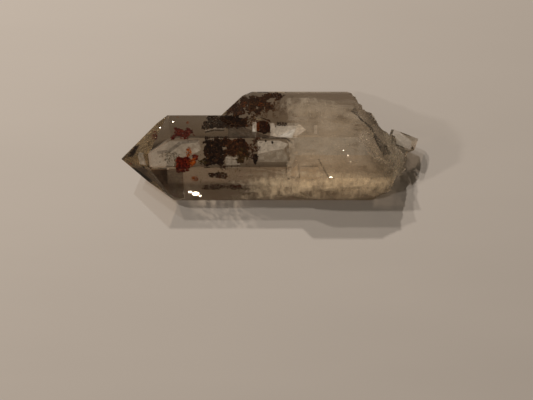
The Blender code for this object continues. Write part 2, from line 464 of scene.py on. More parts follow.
@dataclass(frozen=True)
class QuartzFinish:
    """Clear, faintly smoky quartz, in one material so that its body colour is one volume.

    To the lamps it is a tinted clear sheet, and how much light each side passes was fitted to the shadows.
    """

    name: str = "garden_quartz"
    milky_span: Pair = (0.0, 0.014)
    border: Texture = Texture(120.0, 3.0)
    border_sway: float = 0.012
    ripples: Texture = Texture(260.0, 4.0, (3.0, 0.6, 0.6))
    ripple_height: float = 0.0002
    wear: Texture = Texture(900.0, 4.0, rough=0.6)
    wear_from: Pair = (0.4, 0.75)
    wear_to: Pair = (1.0, 4.0)
    smoke: Colour = (0.62, 0.50, 0.30)
    smoke_density: float = 22.0
    focus_span: Pair = (-0.028, -0.007)
    focus_fade: float = 0.004
    streaks: Texture = Texture(340.0, 2.0, (1.5, 0.5, 0.5))
    streaks_from: Pair = (0.46, 0.60)
    streaks_to: Pair = (0.0, 0.65)
    under_span: Pair = (-0.0075, -0.0050)
    under_front: Colour = (0.14, 0.12, 0.10)
    under_back: Colour = (0.42, 0.39, 0.35)
    # The tip-half tints and warmth differ by side: the darker, browner back and front are painted shade.
    looks: dict[Side, SideLook] = field(
        default_factory=lambda: {
            Side.TOP: SideLook(0.97, 0.97, 0.04, 0.9),
            Side.BACK: SideLook(0.61, 0.97, 0.2, 0.9),
            Side.FRONT: SideLook(0.73, 1.0, 0.32, 0.09),
            Side.TIP: SideLook(0.87, 0.9, 0.1, 0.8),
            Side.UNDER: SideLook(0.97, 0.97, 0.04, 1.0),
            Side.BROKEN: SideLook(0.97, 0.97, 0.15, 0.35, roughness=0.12, relief=1.0),
        }
    )

    @staticmethod
    def choose(make: NodeMaker, values: dict[Side, Colour]) -> Socket:
        """Picks a colour by the side that the face belongs to.

        Args:
            make: Node maker of the material.
            values: A colour for each side.

        Returns:
            The colour's socket.
        """
        mark = make.add("ShaderNodeAttribute", attribute_name=SIDE_ATTRIBUTE).outputs["Fac"]
        colour = make.ramp(mark, [((side.value + 0.5) / len(Side), values[side]) for side in Side])
        ramp = colour.node.color_ramp
        ramp.interpolation = "CONSTANT"
        for element, side in zip(ramp.elements, Side):
            element.position = side.value / len(Side)
        return colour

    def by_look(self, make: NodeMaker, shade: Callable[[SideLook], Colour]) -> Socket:
        """Picks a colour by the look of the face's side."""
        return self.choose(make, {side: shade(look) for side, look in self.looks.items()})

    def only(self, make: NodeMaker, wanted: Side) -> Socket:
        """Returns white on one side and black on the others."""
        return self.choose(make, {side: grey(float(side is wanted), 0.0) for side in Side})

    def milky(self, make: NodeMaker) -> Socket:
        """Returns how far towards the milky half a place is, with an uneven border."""
        border = make.math("MULTIPLY_ADD", make.noise(self.border), self.border_sway, make.along("X"))
        return make.span(border, *self.milky_span)

    def focus(self, make: NodeMaker) -> Socket:
        """Makes the streaks of light that the front faces pass along a stretch.

        Args:
            make: Node maker of the material.

        Returns:
            The colour's socket.
        """
        low, high = self.focus_span
        place = make.along("X")
        start = make.span(place, low, low + self.focus_fade)
        end = make.span(place, high - self.focus_fade, high, 1.0, 0.0)
        streaks = make.span(make.noise(self.streaks), *self.streaks_from, *self.streaks_to)
        reach = make.math("MULTIPLY", make.math("MULTIPLY", start, end), streaks)
        return make.blend(1.0, reach, self.only(make, Side.FRONT), "MULTIPLY")

    def lamp_light(self, make: NodeMaker) -> Socket:
        """Makes the colour of the lamp light that passes; the underside passes less near the front.

        Args:
            make: Node maker of the material.

        Returns:
            The colour's socket.
        """
        even = self.by_look(make, lambda look: grey(look.lamp_pass))
        passing = make.blend(1.0, even, self.focus(make), "ADD")
        strip = make.span(make.along("Y"), *self.under_span)
        shade = make.blend(strip, self.under_front, self.under_back)
        return make.blend(self.only(make, Side.UNDER), passing, shade)

    def build(self) -> Material:
        """Makes the material.

        Returns:
            Glass for the camera, and a tinted clear sheet for the lamps' light.
        """
        material, make = new_material(self.name)
        # The tip half's base colour is the smoky tone with painted shade on its back and front.
        tip_half_tone_and_shade = self.by_look(make, lambda look: grey(look.tip_half_tone_and_shade, look.warmth))
        near_break = self.by_look(make, lambda look: grey(look.near_break, look.warmth))
        rough = self.by_look(make, lambda look: grey(look.roughness, 0.0))
        relief = self.by_look(make, lambda look: grey(look.relief, 0.0))
        wear = make.span(make.noise(self.wear), *self.wear_from, *self.wear_to)
        glass = make.shader(
            {
                "Transmission Weight": 1.0,
                "IOR": QUARTZ_IOR,
                "Base Color": make.blend(self.milky(make), tip_half_tone_and_shade, near_break),
                "Roughness": make.math("MULTIPLY", rough, wear),
                "Normal": make.bump(make.noise(self.ripples), self.ripple_height, relief),
            }
        )
        to_lamps = make.clear({"Color": self.lamp_light(make)})
        shadow_ray = make.add("ShaderNodeLightPath").outputs["Is Shadow Ray"]
        smoke = make.add("ShaderNodeVolumeAbsorption", {"Color": self.smoke, "Density": self.smoke_density})
        make.show(make.mix(shadow_ray, glass, to_lamps), smoke.outputs["Volume"])
        return material


@dataclass(frozen=True)
class GrainFinish:
    """Granular mineral matter, whose colour wanders from grain to grain."""

    dark: Colour
    middle: Colour
    light: Colour
    glow: float = 0.0
    roughness: float = 0.75
    wander: Texture = Texture(1100.0, 4.0, rough=0.7)
    stops: tuple[float, float, float] = (0.38, 0.54, 0.68)

    def build(self, name: str) -> Material:
        """Makes the material.

        Args:
            name: Its name.

        Returns:
            The material.
        """
        material, make = new_material(name)
        stops = list(zip(self.stops, (self.dark, self.middle, self.light)))
        colour = make.ramp(make.noise(self.wander), stops)
        make.show(make.matter(colour, self.roughness, self.glow))
        return material


MINERAL_FINISHES = {
    Mineral.BLACK: GrainFinish((0.005, 0.002, 0.001), (0.012, 0.004, 0.002), (0.05, 0.018, 0.006)),
    Mineral.BROWN: GrainFinish((0.012, 0.004, 0.002), (0.036, 0.010, 0.003), (0.12, 0.04, 0.012)),
    Mineral.OLIVE: GrainFinish((0.012, 0.008, 0.002), (0.05, 0.033, 0.008), (0.15, 0.09, 0.02)),
    Mineral.TAN: GrainFinish((0.05, 0.022, 0.008), (0.14, 0.065, 0.022), (0.32, 0.18, 0.08)),
    Mineral.RED: GrainFinish((0.07, 0.004, 0.002), (0.16, 0.009, 0.003), (0.4, 0.06, 0.008), glow=0.4),
    Mineral.ORANGE: GrainFinish((0.16, 0.03, 0.004), (0.4, 0.1, 0.01), (0.7, 0.25, 0.03), glow=0.4),
}


@dataclass(frozen=True)
class VeilFinish:
    """A healed fracture or inner plane: thin wisps of one colour with clear quartz between them."""

    colour: Colour
    least: float
    most: float
    wisps: Texture
    wisps_from: Pair = (0.40, 0.66)
    glow: float = 0.4
    roughness: float = 0.6

    def build(self, name: str) -> Material:
        """Makes the material.

        Args:
            name: Its name.

        Returns:
            The material.
        """
        material, make = new_material(name)
        cover = make.span(make.noise(self.wisps), *self.wisps_from, self.least, self.most)
        make.show(make.mix(cover, make.clear(), make.matter(self.colour, self.roughness, self.glow)))
        return material


CLOUDY = Texture(210.0, 5.0, (1.0, 1.8, 1.0), 0.66)
STREAKY = Texture(420.0, 5.0, (1.6, 0.5, 0.5), 0.62)
PATCHY = Texture(500.0, 5.0, rough=0.62)
WISPY = Texture(700.0, 5.0, rough=0.62)
SPECKLED = Texture(900.0, 5.0, rough=0.62)

VEIL_FINISHES = {
    Veil.MILKY: VeilFinish((0.63, 0.58, 0.50), 0.0, 0.38, CLOUDY),
    Veil.PALE: VeilFinish((0.72, 0.66, 0.56), 0.35, 0.8, WISPY),
    Veil.THIN: VeilFinish((0.77, 0.72, 0.62), 0.15, 0.5, WISPY),
    # White inclusions and the shard's face, and painted light in the windows.
    Veil.WHITE_AND_PAINTED_LIGHT: VeilFinish((0.95, 0.89, 0.78), 0.5, 0.9, WISPY),
    Veil.BEIGE: VeilFinish((0.72, 0.62, 0.49), 0.45, 0.8, PATCHY),
    Veil.HAZE: VeilFinish((0.97, 0.92, 0.80), 0.04, 0.60, STREAKY),
    # Painted shade at the tip's front.
    Veil.PAINTED_TIP_SHADE: VeilFinish((0.50, 0.34, 0.23), 0.5, 0.9, PATCHY),
    Veil.GREY: VeilFinish((0.10, 0.085, 0.07), 0.4, 0.75, WISPY),
    Veil.DARK: VeilFinish((0.02, 0.013, 0.008), 0.6, 0.95, SPECKLED),
}


@dataclass(frozen=True)
class MirrorFinish:
    """The bright mirror of the glint discs, which paint lamp highlights."""

    name: str = "glint_disc_mirror"
    roughness: float = 0.3
    dim_glint: Colour = (0.90, 0.88, 0.84)
    full_glint: Colour = (0.98, 0.97, 0.95)
    wear: Texture = Texture(800.0, 2.0)

    def build(self) -> Material:
        """Makes the material.

        Returns:
            The material.
        """
        material, make = new_material(self.name)
        colour = make.ramp(make.noise(self.wear), [(0.3, self.dim_glint), (0.7, self.full_glint)])
        make.show(make.shader({"Metallic": 1.0, "Roughness": self.roughness, "Base Color": colour}))
        return material


@dataclass(frozen=True)
class FloorFinish:
    """A plain pale table top."""

    name: str = "pale_floor"
    colour: Colour = (0.60, 0.55, 0.50)
    deeper: float = 0.97
    roughness: float = 0.55
    shine: float = 0.3
    wander: Texture = Texture(9.0, 3.0, (1.0, 5.0, 1.0))

    def build(self) -> Material:
        """Makes the material.

        Returns:
            The material.
        """
        material, make = new_material(self.name)
        deep = tuple(part * self.deeper for part in self.colour)
        colour = make.ramp(make.noise(self.wander), [(0.3, deep), (0.7, self.colour)])
        inputs = {"Base Color": colour, "Roughness": self.roughness, "Specular IOR Level": self.shine}
        make.show(make.shader(inputs))
        return material


@dataclass(frozen=True)
class Face:
    """A flat crystal face: its azimuth about the long axis, its lean from that axis, and a point on it."""

    azimuth: float
    lean: float
    point: Point

    def halfspace(self) -> Halfspace:
        """Returns its point and its outward normal.

        Returns:
            The point and the normal.
        """
        azimuth, lean = math.radians(self.azimuth), math.radians(self.lean)
        flat = math.cos(lean)
        normal = Vector((-math.sin(lean), flat * math.cos(azimuth), flat * math.sin(azimuth)))
        return Vector(self.point), normal


def link_mesh(name: str, mesh: bpy.types.Mesh) -> Piece:
    """Makes an object of a mesh and links it into the scene.

    Args:
        name: Object name.
        mesh: Its mesh.

    Returns:
        The object.
    """
    piece = bpy.data.objects.new(name, mesh)
    bpy.context.scene.collection.objects.link(piece)
    return piece


def link_object(name: str, body: Body) -> Piece:
    """Makes an object from a bmesh, which is freed.

    Args:
        name: Object name.
        body: The bmesh.

    Returns:
        The object, linked into the scene.
    """
    mesh = bpy.data.meshes.new(name)
    body.to_mesh(mesh)
    body.free()
    return link_mesh(name, mesh)


def seal_in(name: str, body: Body, measure: Measure, materials: list[Material]) -> Piece:
    """Makes a piece sealed in the quartz from a bmesh in the crystal's own measure.

    Args:
        name: Object name.
        body: The bmesh, which is freed.
        measure: Where the crystal stands in the frame.
        materials: Its materials, in the order of their slots.

    Returns:
        The piece, in the frame.
    """
    piece = link_object(name, body)
    piece.data.transform(measure.matrix())
    for material in materials:
        piece.data.materials.append(material)
    return piece


def steps(span: Pair, count: int) -> list[float]:
    """Returns the ends of a number of equal steps over a span."""
    low, high = span
    return [low + (high - low) * i / count for i in range(count + 1)]


def solid_inside(planes: list[Halfspace]) -> Body:
    """Cuts a block down to what lies inside every plane.

    Args:
        planes: A point and an outward normal for each plane.

    Returns:
        The closed convex solid.
    """
    body = bmesh.new()
    bmesh.ops.create_cube(body, size=2 * BLOCK_REACH)
    for point, normal in planes:
        geometry = body.verts[:] + body.edges[:] + body.faces[:]
        cut = bmesh.ops.bisect_plane(
            body, geom=geometry, plane_co=point, plane_no=normal, clear_outer=True, dist=1e-5
        )
        edges = [item for item in cut["geom_cut"] if isinstance(item, bmesh.types.BMEdge)]
        bmesh.ops.edgeloop_fill(body, edges=edges)
    bmesh.ops.recalc_face_normals(body, faces=body.faces)
    return body


def combine(obj: Piece, other: Piece, operation: str) -> None:
    """Applies one exact Boolean and deletes the other object.

    Args:
        obj: The object that is changed.
        other: The second operand.
        operation: UNION or DIFFERENCE.
    """
    modifier = obj.modifiers.new("combine", "BOOLEAN")
    modifier.operation = operation
    modifier.solver = "EXACT"
    modifier.object = other
    bpy.context.view_layer.update()
    evaluated = obj.evaluated_get(bpy.context.evaluated_depsgraph_get())
    mesh = bpy.data.meshes.new_from_object(evaluated)
    obj.modifiers.clear()
    old = obj.data
    obj.data = mesh
    bpy.data.meshes.remove(old)
    bpy.data.objects.remove(other, do_unlink=True)


def between(profile: tuple[Pair, ...], y: float) -> float:
    """Reads x at y from a profile of (y, x) points.

    Args:
        profile: The points, in rising order of y.
        y: Where to read it.

    Returns:
        The x.
    """
    if y <= profile[0][0]:
        return profile[0][1]
    for (y0, x0), (y1, x1) in zip(profile, profile[1:]):
        if y <= y1:
            return x0 + (x1 - x0) * (y - y0) / (y1 - y0)
    return profile[-1][1]


@dataclass
class BrokenEnd:
    """The rough broken end, as the sheet that cuts it."""

    top_profile: tuple[Pair, ...] = (
        (-2.0, 36.0),
        (6.4, 37.0),
        (9.7, 36.4),
        (12.6, 34.6),
        (16.8, 32.2),
        (20.4, 31.0),
        (22.7, 27.4),
        (25.7, 22.5),
        (36.0, 20.0),
    )
    foot_profile: tuple[Pair, ...] = (
        (-2.0, 31.6),
        (0.7, 34.6),
        (2.7, 38.1),
        (7.2, 40.7),
        (7.5, 43.3),
        (10.9, 44.3),
        (15.0, 44.3),
        (20.1, 39.5),
        (23.1, 35.7),
        (27.3, 33.7),
        (27.6, 31.0),
        (29.2, 30.7),
        (33.8, 27.0),
        (36.0, 26.0),
    )
    roughness: float = 0.9
    coarse_scale: float = 0.22
    fine_scale: float = 0.55
    ledge: float = 0.55
    step: float = 0.75
    crumble: float = 0.22
    crumble_scale: float = 1.9
    slope_above: float = 0.9
    y_span: Pair = (-3.0, 37.0)
    z_span: Pair = (-2.0, 27.0)
    past_block: float = 5.0
    rows: int = 120
    columns: int = 84

    def position(self, y: float, z: float, top: float) -> float:
        """Finds where the broken surface stands.

        Args:
            y: Place across the crystal.
            z: Height.
            top: Height of the top face.

        Returns:
            The x of the surface.
        """
        down = min(max((top - z) / top, 0.0), 1.0)
        above = max(z - top, 0.0)
        edge = between(self.top_profile, y)
        fall = between(self.foot_profile, y) - edge
        x = edge + fall * math.sin(down * math.pi / 2) - above * self.slope_above
        place = Vector((0.0, y, z))
        coarse = noise.noise(place * self.coarse_scale + BREAK_SEED)
        fine = noise.fractal(place * self.fine_scale + BREAK_SEED, 1.0, 2.1, 3)
        x += self.roughness * (coarse + fine)
        ledged = math.floor(x / self.step) * self.step
        x += self.ledge * (ledged - x)
        return x + self.crumble * noise.fractal(place * self.crumble_scale + BREAK_SEED, 0.8, 2.1, 3)

    def cutter(self, top: float) -> Piece:
        """Makes the solid that holds everything past the break.

        Args:
            top: Height of the top face.

        Returns:
            The solid's object.
        """
        body = bmesh.new()
        heights = steps(self.z_span, self.columns)
        sheet = []
        for y in steps(self.y_span, self.rows):
            sheet.append([body.verts.new((self.position(y, z, top), y, z)) for z in heights])
        for i in range(self.rows):
            for j in range(self.columns):
                body.faces.new((sheet[i][j], sheet[i][j + 1], sheet[i + 1][j + 1], sheet[i + 1][j]))
        rim = [edge for edge in body.edges if edge.is_boundary]
        grown = bmesh.ops.extrude_edge_only(body, edges=rim)["geom"]
        for item in grown:
            if isinstance(item, bmesh.types.BMVert):
                item.co.x = BLOCK_REACH + self.past_block
        bmesh.ops.contextual_create(body, geom=[edge for edge in body.edges if edge.is_boundary])
        bmesh.ops.triangulate(body, faces=body.faces)
        bmesh.ops.recalc_face_normals(body, faces=body.faces)
        return link_object("break_cutter", body)


@dataclass
class QuartzPoint:
    """The clear quartz: the main point, the second point on its back, the broken end and the shard."""

    main_axis: Pair = (13.2, 8.5)
    main_prism: dict[str, Pair] = field(
        default_factory=lambda: {
            "top": (90.0, 9.74),
            "back_upper": (30.0, 8.72),
            "front_upper": (150.0, 8.45),
            "bottom": (270.0, 8.5),
            "back_lower": (330.0, 14.96),
            "front_lower": (210.0, 14.71),
        }
    )
    main_tip: Point = (-44.4, 12.2, 10.4)
    back_shoulder: Point = (-31.56, 26.85, 2.24)
    front_shoulder: Point = (-29.3, -0.08, 2.24)
    second_axis: Pair = (20.0, 8.5)
    second_prism: dict[str, Pair] = field(
        default_factory=lambda: {
            "top": (90.0, 9.5),
            "back_upper": (38.0, 7.5),
            "front_upper": (150.0, 7.0),
            "bottom": (270.0, 7.9),
            "back_lower": (330.0, 15.6),
            "front_lower": (210.0, 9.0),
        }
    )
    second_top_start: Point = (2.5, 17.6, 18.2)
    second_back_start: Point = (-5.5, 27.8, 10.6)
    second_foot_start: Point = (-8.1, 33.1, 0.9)
    raised_faces: tuple[tuple[Point, Point], ...] = (
        ((20.0, 14.0, 24.3), (0.0, 0.0, 1.0)),
        ((20.0, 12.0, 24.3), (0.0, -0.866, 0.5)),
        ((20.0, 6.0, 15.0), (0.0, -0.96, -0.27)),
        ((7.3, 9.0, 18.24), (-0.97, -0.11, 0.22)),
        ((6.0, 17.0, 18.24), (-0.80, 0.575, 0.16)),
        ((20.0, 17.1, 24.3), (0.0, 0.788, 0.616)),
        ((20.0, 14.0, 7.0), (0.0, 0.0, -1.0)),
        ((20.0, 30.0, 9.0), (0.0, 1.0, 0.0)),
    )
    shard_centre: Point = (42.2, 17.7, 7.6)
    shard_half: Point = (4.2, 2.6, 2.8)
    shard_turn: float = -20.0
    shard_faces: tuple[Point, ...] = (
        (1.0, 0.0, 0.12),
        (-1.0, 0.0, 0.0),
        (0.0, 1.0, 0.15),
        (0.0, -1.0, 0.1),
        (0.12, 0.05, 1.0),
        (0.1, 0.0, -1.0),
        (0.75, -0.85, 0.1),
        (0.3, 0.75, 0.75),
        (0.65, 0.2, 0.8),
    )
    broken_end: BrokenEnd = field(default_factory=BrokenEnd)

    @staticmethod
    def prism_faces(axis: Pair, prism: dict[str, Pair]) -> list[Face]:
        """Places prism faces at their distances from the long axis.

        Args:
            axis: The long axis's y and z.
            prism: The azimuth and distance of each face.

        Returns:
            The faces.
        """
        faces = []
        for azimuth, distance in prism.values():
            angle = math.radians(azimuth)
            point = (0.0, axis[0] + distance * math.cos(angle), axis[1] + distance * math.sin(angle))
            faces.append(Face(azimuth, 0.0, point))
        return faces

    @property
    def top(self) -> float:
        """Height of the main point's top face."""
        return self.main_axis[1] + self.main_prism["top"][1]

    def main_faces(self) -> list[Face]:
        """Returns the main point's faces."""
        return self.prism_faces(self.main_axis, self.main_prism) + [
            Face(*BACK_TIP, self.main_tip),
            Face(*TOP_TIP, self.main_tip),
            Face(*FRONT_TIP, self.main_tip),
            Face(270.0, RHOMB_LEAN, self.main_tip),
            Face(330.0, RHOMB_LEAN, self.back_shoulder),
            Face(210.0, RHOMB_LEAN, self.front_shoulder),
        ]

    def second_faces(self) -> list[Face]:
        """Returns the second point's faces."""
        return self.prism_faces(self.second_axis, self.second_prism) + [
            Face(*BACK_TIP, self.second_back_start),
            Face(*TOP_TIP, self.second_top_start),
            Face(288.0, RHOMB_LEAN, self.second_foot_start),
        ]

    def growths(self) -> list[list[Halfspace]]:
        """Returns the planes of the main point, the second point and the raised growth."""
        return [
            [face.halfspace() for face in self.main_faces()],
            [face.halfspace() for face in self.second_faces()],
            [(Vector(point), Vector(normal).normalized()) for point, normal in self.raised_faces],
        ]

    def shard(self) -> Body:
        """Makes the turned block that stands on the broken end.

        Returns:
            The closed convex solid.
        """
        turn = Matrix.Rotation(math.radians(self.shard_turn), 3, "Z")
        planes = []
        for direction in self.shard_faces:
            normal = Vector(direction).normalized()
            reach = math.sqrt(sum((normal[k] * self.shard_half[k]) ** 2 for k in range(3)))
            planes.append((Vector(self.shard_centre) + turn @ normal * reach, turn @ normal))
        return solid_inside(planes)

    def build(self, measure: Measure) -> Piece:
        """Makes the whole clear solid.

        Args:
            measure: Where the crystal stands in the frame.

        Returns:
            The clear piece.
        """
        main, second, raised = self.growths()
        whole = link_object("clear_quartz", solid_inside(main))
        combine(whole, link_object("second_point", solid_inside(second)), "UNION")
        combine(whole, link_object("raised_growth", solid_inside(raised)), "UNION")
        combine(whole, self.broken_end.cutter(self.top), "DIFFERENCE")
        combine(whole, link_object("shard", self.shard()), "UNION")
        whole.data.transform(measure.matrix())
        return whole

    def holds(self, place: Vector, margin: float) -> bool:
        """Tells whether a place lies inside the quartz by a margin, short of the broken end.

        Args:
            place: The place, in the crystal's own millimetres.
            margin: How far inside it must be.

        Returns:
            True if it does.
        """
        if place.x > self.broken_end.position(place.y, place.z, self.top) - 2.0 * margin:
            return False
        for planes in self.growths():
            if all((place - spot).dot(normal) < -margin for spot, normal in planes):
                return True
        return False

    @staticmethod
    def side_of(polygon: bpy.types.MeshPolygon) -> Side:
        """Sorts a polygon of the quartz by where it faces.

        Args:
            polygon: The polygon, in the frame.

        Returns:
            Its side.
        """
        facing = polygon.normal
        if facing.x > BREAK_FACING and polygon.area < BREAK_AREA:
            return Side.BROKEN
        if facing.z > LEVEL_FACING:
            return Side.TOP
        if facing.z < -LEVEL_FACING:
            return Side.UNDER
        if facing.x < TIP_FACING:
            return Side.TIP
        return Side.BACK if facing.y > 0.0 else Side.FRONT

    def dress(self, whole: Piece, finish: QuartzFinish) -> None:
        """Gives the quartz its finish and marks each face's side.

        Args:
            whole: The clear piece.
            finish: Its finish.
        """
        whole.data.materials.clear()
        whole.data.materials.append(finish.build())
        marks = whole.data.attributes.new(SIDE_ATTRIBUTE, "FLOAT", "FACE")
        for polygon in whole.data.polygons:
            polygon.material_index = 0
            polygon.use_smooth = False
            marks.data[polygon.index].value = (self.side_of(polygon).value + 0.5) / len(Side)


@dataclass(frozen=True)
class Patch:
    """A patch of grains as the photo shows it: its box in pixels, its depth and how it is filled."""

    TRIES = 25
    OVERSHOOT = 1.15
    EDGE_SCALE = 0.21
    EDGE_SLICE = 7.0
    EDGE_SHIFT = 0.15

    box: tuple[float, float, float, float]
    count: int
    mineral: Mineral
    depth: Pair = (0.3, 1.6)
    ragged: float = 0.5
    square: float = 2.0
    size: Pair = (0.06, 0.26)

    def places(self, sight: Sight, draw: random.Random) -> list[Vector]:
        """Draws where the grains lie.

        Args:
            sight: Lines of sight into the quartz.
            draw: Random numbers.

        Returns:
            The grains' centres.
        """
        u0, v0, u1, v1 = self.box
        found = []
        for _ in range(self.count * self.TRIES):
            across = draw.uniform(-self.OVERSHOOT, self.OVERSHOOT)
            down = draw.uniform(-self.OVERSHOOT, self.OVERSHOOT)
            u = (u0 + u1) / 2 + across * (u1 - u0) / 2
            v = (v0 + v1) / 2 + down * (v1 - v0) / 2
            radius = (abs(across) ** self.square + abs(down) ** self.square) ** (1.0 / self.square)
            spot = Vector((u, v, self.EDGE_SLICE)) * self.EDGE_SCALE
            if radius + self.ragged * (self.EDGE_SHIFT - noise.fractal(spot, 0.8, 2.1, 4)) > 1.0:
                continue
            place = sight.reach(u, v, draw.uniform(*self.depth))
            if place is None:
                continue
            found.append(place)
            if len(found) == self.count:
                break
        return found


@dataclass(frozen=True)
class Grains:
    """One joined mesh of many small irregular grains."""

    name: str
    patches: tuple[Patch, ...]
    seed: int
    stretch: Pair = (0.6, 1.5)
    flatness: float = 0.6
    jitter: float = 0.3

    def build(self, sight: Sight, measure: Measure, finishes: dict[Mineral, Material]) -> Piece:
        """Makes the piece.

        Args:
            sight: Lines of sight into the quartz.
            measure: Where the crystal stands in the frame.
            finishes: The material of each mineral.

        Returns:
            One mesh of all the grains.
        """
        draw = random.Random(self.seed)
        shift = self.jitter
        minerals = list(dict.fromkeys(patch.mineral for patch in self.patches))
        corners, triangles, slots = [], [], []
        for patch in self.patches:
            for place in patch.places(sight, draw):
                size = patch.size[0] + (patch.size[1] - patch.size[0]) * draw.random() ** 2
                shape = np.array([draw.uniform(*self.stretch) for _ in range(3)])
                shape *= (1.0, 1.0, self.flatness)
                jitter = [[draw.uniform(-shift, shift) for _ in range(3)] for _ in OCTAHEDRON_CORNERS]
                axis = Vector([draw.gauss(0.0, 1.0) for _ in range(3)])
                turn = np.array(Matrix.Rotation(draw.uniform(0.0, math.tau), 3, axis))
                grain = (OCTAHEDRON_CORNERS + np.array(jitter)) * size * shape
                triangles.append(OCTAHEDRON_FACES + len(OCTAHEDRON_CORNERS) * len(corners))
                corners.append(grain @ turn.T + np.array(place))
                slots.extend([minerals.index(patch.mineral)] * len(OCTAHEDRON_FACES))
        mesh = bpy.data.meshes.new(self.name)
        mesh.from_pydata(np.concatenate(corners).tolist(), [], np.concatenate(triangles).tolist())
        mesh.transform(measure.matrix())
        for mineral in minerals:
            mesh.materials.append(finishes[mineral])
        mesh.polygons.foreach_set("material_index", slots)
        mesh.update()
        return link_mesh(self.name, mesh)


MOSS_MAIN = Grains(
    "moss_garden_main",
    (
        Patch((204.6, 138.5, 224.6, 165.5), 3800, Mineral.BLACK, (0.3, 2.2), 0.35, 8.0, COARSE),
        Patch((223.5, 138.5, 247.7, 156.5), 3000, Mineral.BROWN, (0.3, 2.2), 0.35, 6.0, COARSE),
        Patch((223.5, 138.5, 247.7, 156.5), 1400, Mineral.BLACK, (0.5, 2.2), 0.5, 6.0, COARSE),
        Patch((234.0, 148.0, 247.7, 162.0), 700, Mineral.OLIVE, (0.3, 1.5), 0.7),
        Patch((234.0, 150.0, 247.0, 162.0), 450, Mineral.BROWN, (0.5, 2.0), 0.7),
        Patch((198.5, 158.5, 209.0, 165.0), 220, Mineral.OLIVE, (0.3, 1.5), 0.7),
        Patch((246.0, 138.5, 259.5, 157.0), 520, Mineral.BROWN, (0.3, 1.5), 1.1),
        Patch((253.0, 154.0, 257.8, 164.5), 360, Mineral.BLACK, (0.3, 1.2), 0.4, 3.0),
        Patch((264.6, 139.8, 266.8, 141.8), 22, Mineral.BLACK, (0.3, 0.8), 0.2),
        Patch((271.4, 141.3, 273.8, 143.5), 22, Mineral.BLACK, (0.3, 0.8), 0.2),
        Patch((222.0, 165.5, 230.0, 169.5), 80, Mineral.BROWN, (0.3, 0.9), 0.6),
        Patch((204.6, 115.6, 247.5, 128.5), 4600, Mineral.BLACK, (0.2, 1.2), 0.35, 6.0, COARSE),
        Patch((224.0, 115.0, 258.0, 128.0), 900, Mineral.BROWN, (0.2, 1.0), 0.8, 3.0),
        Patch((209.5, 172.5, 229.0, 179.0), 900, Mineral.BROWN, (0.3, 1.0), 0.6),
        Patch((203.0, 184.5, 244.0, 189.5), 1500, Mineral.BROWN, (0.3, 0.8), 0.7, 3.0, (0.05, 0.18)),
        Patch((194.0, 170.0, 250.0, 192.0), 900, Mineral.BROWN, (0.4, 2.5), 1.1, 3.0, (0.04, 0.14)),
        Patch((164.0, 172.0, 186.0, 199.0), 900, Mineral.BROWN, (0.3, 2.4), 1.0, 3.0, DUST),
        Patch((160.0, 152.5, 179.0, 163.5), 420, Mineral.OLIVE, (0.3, 1.5), 1.2, 2.0, (0.05, 0.16)),
        Patch((274.0, 121.5, 288.0, 127.0), 90, Mineral.BLACK, (0.3, 1.0), 1.0),
        Patch((206.0, 116.0, 258.0, 131.0), 1600, Mineral.TAN, (0.12, 0.4), 1.2, 4.0, (0.04, 0.14)),
        Patch((206.0, 139.0, 250.0, 164.0), 900, Mineral.TAN, (0.15, 0.5), 1.2, 4.0, (0.04, 0.12)),
        Patch((200.0, 136.0, 264.0, 168.0), 1300, Mineral.BROWN, (0.3, 1.4), 1.5, 4.0, FINE),
    ),
    11,
)
MOSS_SECOND = Grains(
    "moss_garden_second",
    (
        Patch((236.0, 93.0, 272.0, 113.0), 6500, Mineral.BROWN, (0.2, 1.4), 0.7, 3.0),
        Patch((236.0, 93.0, 270.0, 113.0), 4500, Mineral.BLACK, (0.2, 1.6), 0.9, 3.0),
        Patch((262.0, 92.6, 284.0, 100.0), 1700, Mineral.BROWN, (0.2, 1.0), 0.8),
        Patch((223.0, 100.0, 248.0, 116.0), 4500, Mineral.BROWN, (0.2, 1.0), 0.7),
        Patch((222.0, 91.5, 288.0, 118.0), 2600, Mineral.BROWN, (0.2, 1.0), 1.4, 4.0, FINE),
        Patch((226.0, 93.0, 276.0, 116.0), 3000, Mineral.TAN, (0.12, 0.4), 1.2, 4.0, FINE),
        Patch((241.0, 102.0, 247.0, 108.0), 90, Mineral.ORANGE, (0.2, 0.5), 0.6),
        Patch((256.5, 102.5, 263.5, 107.5), 90, Mineral.ORANGE, (0.2, 0.5), 0.6),
    ),
    23,
)
RUST_FLAKES = Grains(
    "rust_flake_patches",
    (
        Patch((175.6, 157.5, 189.5, 172.8), 1500, Mineral.RED, (0.3, 1.2), 0.3, 6.0, (0.1, 0.36)),
        Patch((188.5, 158.5, 195.5, 166.5), 230, Mineral.ORANGE, (0.3, 0.9), 0.5, 2.0, (0.1, 0.3)),
        Patch((186.5, 147.0, 191.7, 156.0), 130, Mineral.ORANGE, (0.3, 0.9), 0.6, 2.0, (0.08, 0.25)),
        Patch((191.5, 154.5, 199.0, 159.5), 130, Mineral.RED, (0.3, 0.9), 0.6, 2.0, (0.08, 0.3)),
        Patch((173.0, 128.0, 194.7, 137.6), 1700, Mineral.RED, (0.2, 1.0), 0.6, 4.0, (0.08, 0.3)),
        Patch((186.0, 120.8, 189.5, 124.5), 45, Mineral.ORANGE, (0.2, 0.6), 0.3),
        Patch((176.2, 115.8, 178.8, 118.2), 20, Mineral.ORANGE, (0.2, 0.6), 0.3),
        Patch((150.0, 131.0, 157.5, 142.5), 230, Mineral.RED, (0.2, 0.8), 0.9, 2.0, (0.08, 0.26)),
        Patch((190.5, 176.8, 197.5, 181.3), 150, Mineral.ORANGE, (0.3, 0.8), 0.5),
        Patch((232.0, 184.5, 241.0, 188.0), 60, Mineral.RED, (0.3, 0.6), 0.7),
    ),
    37,
)
